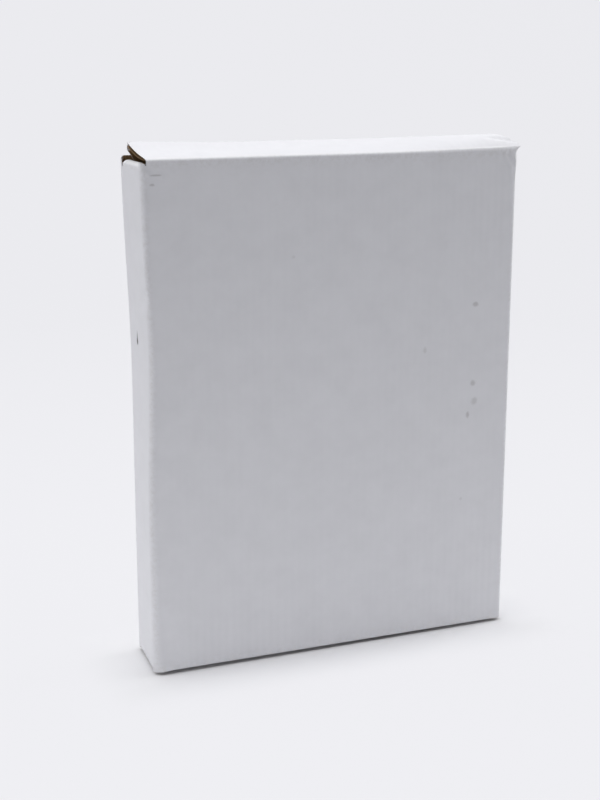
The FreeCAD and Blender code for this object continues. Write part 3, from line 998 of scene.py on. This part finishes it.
def lay_flap(name):
    """Return the function that puts a flap's flat points in their place."""
    flap = flap_table()[name]
    radius = sizes().fold_radius

    def lay(x, y, d):
        slide, push, out = flap_form(name, x, y)
        if name == "lid":
            # The board is crushed thin where the left end of the lid's crease has been worked
            crushed = ease((-x - 55 * MM) / (20 * MM)) * (1 - ease(y / (12 * MM)))
            d = d * (1 - CRUSHED_SHARE * crushed)
        return flap.spot + moved(flap, x + slide, y + push, radius + out - d)
    return lay


# Creases: a strip of liner bent round the fold, over a crushed core

# Steps of a crease's liner: on the flat at each side, and round the bend
SIDE_STEPS = 2
BEND_STEPS = 10
ALL_STEPS = 2 * SIDE_STEPS + BEND_STEPS
# Width of the liner's drawing, and how rubbed its coat is
LINER_WIDTH = 4 * MM
LINER_RUBBED = 0.45
LID_CREASE_INSET = 0.6 * MM
CORE_INSET = 1.2 * MM
BEAD_GAP = 0.01 * MM
# The lid's tuck passes close behind the top left crease as it closes
TUCK_PASS = 1.5 * MM


def crease_span(name):
    """Return where a flap's crease starts and ends along it."""
    size = sizes()
    half = size.width / 2
    if name == "lid":
        return LID_CREASE_INSET - half, half - LID_CREASE_INSET
    if name == "bottom_panel":
        return size.corner_radius - half, half - board() - SEAM_GAP - size.corner_radius
    if "tuck" in name:
        return tuck_ends()
    return (TUCK_PASS if name == "top_left_dust_flap" else 0) - dust_half(), dust_half()


def crease_bend(flap):
    """Return the parent's outward direction at a crease and the angle that the board turns there."""
    out = np.cross(flap.along, flap.reach)
    return out, math.acos(np.clip(out @ flap.normal, -1, 1))


def crease_ends(flap):
    """Return where a crease's liner leaves its parent's board and where it joins its flap."""
    size = sizes()
    start = flap.spot + size.fold_radius * crease_bend(flap)[0] - crease_reach() * flap.reach
    setback = crease_setback(0, size.outer_liner)
    return start, flap.spot + size.fold_radius * flap.normal + setback * flap.away


def parent_shift(name, points):
    """Return how far the board that carries a crease has left its drawn place at these points."""
    flaps = flap_table()
    parent = flaps[name].parent
    if parent in flaps:
        panel = flaps[parent]
        end = np.full(len(points), lid_span() - crease_reach())
        return moved(panel, *flap_form(parent, points @ panel.along, end))
    size = sizes()
    columns = wall_columns(2 * MM)
    columns = columns[columns < wall_stretches()["back_right"].at]
    wall = lay_wall(columns, np.full_like(columns, points[:, 2].mean()), 0 * columns)
    along, across, deep = (0, 1, size.depth) if name in ("lid", "bottom_panel") else (1, 0, size.width)
    drawn = np.sign(points[:, across].mean()) * deep / 2
    face = wall[np.abs(wall[:, across] - drawn) < 2.2 * MM]
    face = face[np.argsort(face[:, along])]
    shift = np.zeros_like(points)
    shift[:, across] = np.interp(points[:, along], face[:, along], face[:, across]) - drawn
    return shift


def crease_shift(name, x):
    """Return how far the boards on both sides of a crease have left their drawn places along it."""
    flap = flap_table()[name]
    own = x * lid_half() / crease_span(name)[1] if name == "lid" else x
    setback = crease_setback(0, sizes().outer_liner)
    slide, push, out = flap_form(name, own, np.full_like(x, setback))
    edge = crease_ends(flap)[0] + np.outer(x, flap.along)
    return parent_shift(name, edge), moved(flap, own + slide - x, push, out)


def add_crease(name, kind, points, faces, flat, material, wear=None):
    """Add one of the papers of a crease."""
    piece = add_piece(name + kind, np.concatenate(points), faces, np.concatenate(flat), material, wear)
    flap = flap_table()[name]
    start, end = crease_ends(flap)
    tuple(start)
    tuple(end)
    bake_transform(piece)
    return piece


def crease_liner(name):
    """Make the white liner over a crease."""
    size, flap = sizes(), flap_table()[name]
    out, bend = crease_bend(flap)
    setback = crease_setback(0, size.outer_liner)
    first, last = crease_span(name)
    x = np.unique(np.round(np.concatenate([
        np.linspace(first, last, int((last - first) / WALL_STEP) + 2),
        np.linspace(last - 12 * MM, last, 24)]), 8))
    side = np.arange(SIDE_STEPS) / SIDE_STEPS
    # Each station is so far short of the bend, turned so much, and so far past the bend
    stations = [((share - 1) * crease_reach(), 0, 0) for share in side]
    stations += [(0, turn, 0) for turn in np.linspace(0, bend, BEND_STEPS + 1)]
    stations += [(0, bend, (1 - share) * setback) for share in side[::-1]]
    carried, turned = crease_shift(name, x)
    points, flat = [], []
    for depth in (0, size.outer_liner):
        for step, (before, turn, past) in enumerate(stations):
            facing = out * math.cos(turn) + flap.reach * math.sin(turn)
            soft = ease(step / ALL_STEPS)
            points.append(flap.spot + np.outer(x, flap.along) + before * flap.reach + past * flap.away
                          + (size.fold_radius - depth) * facing + (1 - soft) * carried + soft * turned)
            flat.append(np.column_stack([x, np.full_like(x, step / ALL_STEPS * LINER_WIDTH)]))
    grid = np.arange(len(stations) * len(x)).reshape(len(stations), len(x)).T
    return add_crease(name, "_crease_liner", points, shell_faces(grid), flat,
                      finish("coated white liner"), np.full(2 * grid.size, LINER_RUBBED))


def crease_core(name):
    """Make the crushed board under a crease: the flattened end of its board and the round bead."""
    size, flap = sizes(), flap_table()[name]
    out, bend = crease_bend(flap)
    bead = size.fold_radius - size.outer_liner - BEAD_GAP
    inside = size.fold_radius - board()
    profile = [(bead, -crease_reach(), 1.0)]
    for turn in np.linspace(0, math.pi + math.acos(-inside / bead), 22):
        # The bead follows its wall by as much as the liner over it does
        held = 1 - ease((SIDE_STEPS + BEND_STEPS * min(turn / bend, 1)) / ALL_STEPS)
        profile.append((bead * math.cos(turn), bead * math.sin(turn), held))
    profile.append((inside, -crease_reach(), 1.0))
    first, last = np.array(crease_span(name)) + (CORE_INSET, -CORE_INSET)
    x = np.linspace(first, last, int((last - first) / (2.5 * MM)) + 2)
    crush = 0.05 * MM * np.abs(np.sin(x / (1.7 * MM)) * np.sin(x / (5.3 * MM)))
    carried, turned = crease_shift(name, x)
    points, flat = [], []
    for outward, onward, held in profile:
        points.append(flap.spot + np.outer(x, flap.along)
                      + np.outer(outward - crush * np.sign(outward), out) + onward * flap.reach
                      + held * carried + (1 - held) * turned)
        flat.append(np.column_stack([x, np.full_like(x, onward)]))
    grid = np.arange(len(profile) * len(x)).reshape(len(profile), len(x))
    caps = [grid[:, 0].tolist(), grid[::-1, -1].tolist()]
    faces = grid_faces(np.concatenate([grid, grid[:1]]).T).tolist() + caps
    return add_crease(name, "_crease_core", points, faces, flat,
                      finish("crushed board"))


# The studio

# In metres: the paper runs far to the front and sides, and turns up behind the carton
SWEEP_REACH = 9.0
SWEEP_TURN = 1.0
SWEEP_RADIUS = 0.6
SWEEP_TOP = 3.0
# The paper darkens between these distances from the carton's middle, where the lamps don't reach
LIT_PAPER = (0.20, 0.75)
# The paper's glow comes in between these distances from the carton's foot
FOOT_SHADOW = (-1 * MM, 30 * MM)
FLOOR_GLOW = 0.95
ROOM_GLOW = 0.97
ROOM_COLOUR = (0.95, 0.96, 1.0)


def studio_paper():
    """Matt backdrop paper, rolled: even and pale, with no gloss, and darker far from the lamps."""
    size, stage = sizes(), bpy.context.scene.carton_stage
    material, tree, place = new_material("studio paper")
    far = add_node(tree, "ShaderNodeVectorMath", {0: (place, "Object")}, operation="LENGTH")
    fade = add_node(tree, "ShaderNodeMapRange", {
        "Value": (far, "Value"), "From Min": LIT_PAPER[0], "From Max": LIT_PAPER[1]})
    shade = add_node(tree, "ShaderNodeMix", {
        "Factor": (fade, 0), 6: rgba(stage.paper), 7: rgba(stage.far_paper)}, data_type="RGBA")
    surface = add_node(tree, "ShaderNodeBsdfPrincipled", {
        "Base Color": (shade, 2), "Roughness": 0.9, "Specular IOR Level": 0.1})
    ray = add_node(tree, "ShaderNodeLightPath")
    mirror = add_node(tree, "ShaderNodeMath", {
        0: (ray, "Is Glossy Ray"), 1: (ray, "Is Transmission Ray")}, operation="MAXIMUM")
    seen = add_node(tree, "ShaderNodeMath", {0: (ray, "Is Camera Ray"), 1: (mirror, 0)},
                    operation="MAXIMUM")
    # Close to the carton the floor shows only real light, so the shadow at its foot stays dark
    foot = add_node(tree, "ShaderNodeVectorMath", {0: (place, "Object")}, operation="ABSOLUTE")
    past = add_node(tree, "ShaderNodeVectorMath", {
        0: (foot, 0), 1: (size.width / 2, size.depth / 2, 0)}, operation="SUBTRACT")
    gap = add_node(tree, "ShaderNodeSeparateXYZ", {0: (past, 0)})
    away = add_node(tree, "ShaderNodeMath", {0: (gap, 0), 1: (gap, 1)}, operation="MAXIMUM")
    clear = add_node(tree, "ShaderNodeMapRange", {
        "Value": (away, 0), "From Min": FOOT_SHADOW[0], "From Max": FOOT_SHADOW[1],
        "To Max": FLOOR_GLOW}, interpolation_type="SMOOTHSTEP")
    share = add_node(tree, "ShaderNodeMath", {0: (seen, 0), 1: (clear, 0)}, operation="MULTIPLY")
    glow = add_node(tree, "ShaderNodeEmission", {"Color": rgba(stage.glow), "Strength": 1.0})
    mixed = add_node(tree, "ShaderNodeMixShader", {0: (share, 0), 1: (surface, 0), 2: (glow, 0)})
    add_node(tree, "ShaderNodeOutputMaterial", {"Surface": (mixed, 0)})
    return material


def add_sweep():
    """Lay the paper: a floor that turns up into the backdrop."""
    profile = [(-SWEEP_REACH, 0.0), (SWEEP_TURN, 0.0)]
    profile += [(SWEEP_TURN + SWEEP_RADIUS * math.sin(turn), SWEEP_RADIUS - SWEEP_RADIUS * math.cos(turn))
                for turn in np.linspace(0.05, math.pi / 2, 24)]
    profile.append((SWEEP_TURN + SWEEP_RADIUS, SWEEP_TOP))
    points = [(x, y, z) for y, z in profile for x in (-SWEEP_REACH, SWEEP_REACH)]
    faces = [(2 * i, 2 * i + 1, 2 * i + 3, 2 * i + 2) for i in range(len(profile) - 1)]
    mesh = bpy.data.meshes.new("studio_sweep")
    mesh.from_pydata(points, [], faces)
    mesh.shade_smooth()
    mesh.materials.append(studio_paper())
    show("studio_sweep", mesh)


def aim(name, data, where, direction):
    """Put a lamp or the camera in its place, looking along a direction."""
    holder = show(name, data)
    holder.location = where
    holder.rotation_mode = "QUATERNION"
    holder.rotation_quaternion = Vector(direction).to_track_quat("-Z", "Y")
    return holder


def add_lamps():
    """Hang the softboxes: a big one overhead and a small one on each side."""
    stage = bpy.context.scene.carton_stage
    for name, where, target, wide, power in (
            ("overhead softbox", (-0.20, 0.28, 1.40), (-0.05, 0.05, 0.1), 1.9, stage.overhead),
            ("left softbox", (-1.1, 0.0, 0.60), (0, -0.15, 0.0), 0.8, stage.left_fill),
            ("right softbox", (1.1, 0.0, 0.60), (0, -0.15, 0.0), 0.8, stage.right_fill)):
        lamp = bpy.data.lights.new(name, "AREA")
        lamp.size = wide
        lamp.energy = power
        aim(name, lamp, where, np.subtract(target, where)).visible_camera = False


def add_room():
    """Fill the room with even light; the camera sees it as the paper's own tone."""
    scene = bpy.context.scene
    stage = scene.carton_stage
    scene.world = bpy.data.worlds.new("room")
    scene.world.use_nodes = True
    tree = scene.world.node_tree
    tree.nodes.clear()
    light = add_node(tree, "ShaderNodeBackground", {"Color": rgba(ROOM_COLOUR), "Strength": stage.room})
    glow = add_node(tree, "ShaderNodeBackground", {"Color": rgba(stage.glow), "Strength": ROOM_GLOW})
    ray = add_node(tree, "ShaderNodeLightPath")
    mixed = add_node(tree, "ShaderNodeMixShader", {0: (ray, "Is Camera Ray"), 1: (light, 0), 2: (glow, 0)})
    add_node(tree, "ShaderNodeOutputWorld", {"Surface": (mixed, 0)})


def add_camera():
    """Set the camera at the photograph's viewing angle."""
    scene = bpy.context.scene
    stage = scene.carton_stage
    camera = bpy.data.cameras.new("camera")
    camera.lens = stage.lens
    camera.clip_start = 10 * MM
    turn, rise = stage.turn, stage.rise
    back = np.array([math.sin(turn) * math.cos(rise), -math.cos(turn) * math.cos(rise), math.sin(rise)])
    right = np.array([math.cos(turn), math.sin(turn), 0.0])
    where = np.array([0, 0, sizes().height / 2]) + stage.distance * back
    where += stage.slide * right + stage.lift * np.cross(back, right)
    scene.camera = aim("camera", camera, where, -back)
    scene.view_settings.view_transform = "Standard"


# Operators

class CARTON_OT_wall(bpy.types.Operator):
    """Wrap the wall: outer liner, medium and inner liner in one strip from cut edge to glue flap"""
    bl_idname = "carton.wall"
    bl_label = "Wrapped wall"

    def execute(self, context):
        size = sizes()
        panels = ("front_panel", "back_panel", "left_side_panel", "right_side_panel", "glue_flap")
        folds = ("front_left", "front_right", "back_right", "back_left")
        columns = wall_columns(WALL_STEP)
        sheet = flat_sheet(columns, *wall_ends(columns), wall_rows(26, 28, 8, 18))
        outer = paper_shell("wall_outer_liner", sheet, 0, size.outer_liner, lay_wall,
                            finish("coated white liner, handled"), wall_rubbed)
        settle(outer, "carton_tube", "white_outer_liner",
               *[p + "_outer_liner" for p in panels], *[f + "_fold_liner" for f in folds])
        inner = paper_shell("wall_inner_liner", sheet, board() - size.inner_liner, board(), lay_wall,
                            finish("kraft liner"))
        settle(inner, "carton_tube", "kraft_inner_liner",
               *[p + "_inner_liner" for p in panels], *[f + "_fold_core" for f in folds])
        # Eight columns to a flute draw its wave
        columns = np.linspace(0, columns[-1], int(columns[-1] / size.pitch * 8))
        sheet = flat_sheet(columns, *wall_ends(columns), wall_rows(10, 18, 5, 14))
        settle(fluting("wall_fluting", sheet, lay_wall), "carton_tube", "kraft_fluting",
               *[p + "_fluting" for p in panels])
        return {"FINISHED"}


class CARTON_OT_flaps(bpy.types.Operator):
    """Make the lid, the bottom, their tucks and the four dust flaps, ply by ply"""
    bl_idname = "carton.flaps"
    bl_label = "Lid, bottom, tucks and dust flaps"

    def execute(self, context):
        size = sizes()
        core_bottom = board() - size.inner_liner
        for name, flap in flap_table().items():
            lay = lay_flap(name)
            # The lower tuck's inside papers stop short, so that it can fold on past its raised panel
            short = size.bottom_rise if name == "bottom_tuck" else 0
            for ply, top, bottom, paper, slot in (
                    ("_outer_liner", 0, size.outer_liner, "coated white liner", "white_outer_liner"),
                    ("_inner_liner", core_bottom, board(), "kraft liner", "kraft_inner_liner")):
                start = crease_setback(top, bottom) + (short if top else 0)
                sheet = flap_sheet(flap.outline, start, FLAP_STEP)
                piece = paper_shell(name + ply, sheet, top, bottom, lay, finish(paper))
                settle(piece, name, slot, name + ply)
            start = crease_setback(size.outer_liner, core_bottom) + short
            sheet = flap_sheet(flap.outline, start, size.pitch / 10)
            settle(fluting(name + "_fluting", sheet, lay), name, "kraft_fluting", name + "_fluting")
        return {"FINISHED"}


class CARTON_OT_creases(bpy.types.Operator):
    """Make the eight hinge creases: a strip of liner bent round the fold, over a crushed core"""
    bl_idname = "carton.creases"
    bl_label = "Hinge creases"

    def execute(self, context):
        for name in flap_table():
            crease_liner(name)
            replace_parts(crease_core(name), name + "_crease")
        return {"FINISHED"}


class CARTON_OT_glue(bpy.types.Operator):
    """Give the glue film between the glue flap and the right panel its finish"""
    bl_idname = "carton.glue"
    bl_label = "Glue seam"

    def execute(self, context):
        materials = frame["nodes"]["glue_seam"].data.materials
        materials.clear()
        materials.append(finish("dried paper glue"))
        return {"FINISHED"}


class CARTON_OT_stage(bpy.types.Operator):
    """Set up the studio: a sweep of pale paper, soft lamps and the camera"""
    bl_idname = "carton.stage"
    bl_label = "Studio and camera"

    def execute(self, context):
        add_sweep()
        add_lamps()
        add_room()
        add_camera()
        return {"FINISHED"}


class CARTON_PT_panel(bpy.types.Panel):
    """Lists the carton's pieces and settings"""
    bl_idname = "CARTON_PT_panel"
    bl_label = "Carton"
    bl_space_type = "VIEW_3D"
    bl_region_type = "UI"
    bl_category = "Carton"

    def draw(self, context):
        for operator in OPERATORS:
            self.layout.operator(operator.bl_idname)
        for group in GROUPS:
            settings = getattr(context.scene, group)
            for setting in settings.__annotations__:
                self.layout.prop(settings, setting)


OPERATORS = (CARTON_OT_wall, CARTON_OT_flaps, CARTON_OT_creases, CARTON_OT_glue, CARTON_OT_stage)
GROUPS = {"carton_sizes": CartonSizes, "carton_folds": CartonFolds,
          "carton_colours": CartonColours, "carton_stage": StageSettings}


def register():
    for group in (*GROUPS.values(), *OPERATORS, CARTON_PT_panel):
        bpy.utils.register_class(group)
    for name, group in GROUPS.items():
        setattr(bpy.types.Scene, name, bpy.props.PointerProperty(type=group))


def unregister():
    for name in GROUPS:
        delattr(bpy.types.Scene, name)
    for group in (CARTON_PT_panel, *reversed(OPERATORS), *GROUPS.values()):
        bpy.utils.unregister_class(group)


def main():
    register()
    bpy.ops.carton.wall()
    bpy.ops.carton.flaps()
    bpy.ops.carton.creases()
    bpy.ops.carton.glue()
    bpy.ops.carton.stage()


if __name__ == "__main__":
    main()
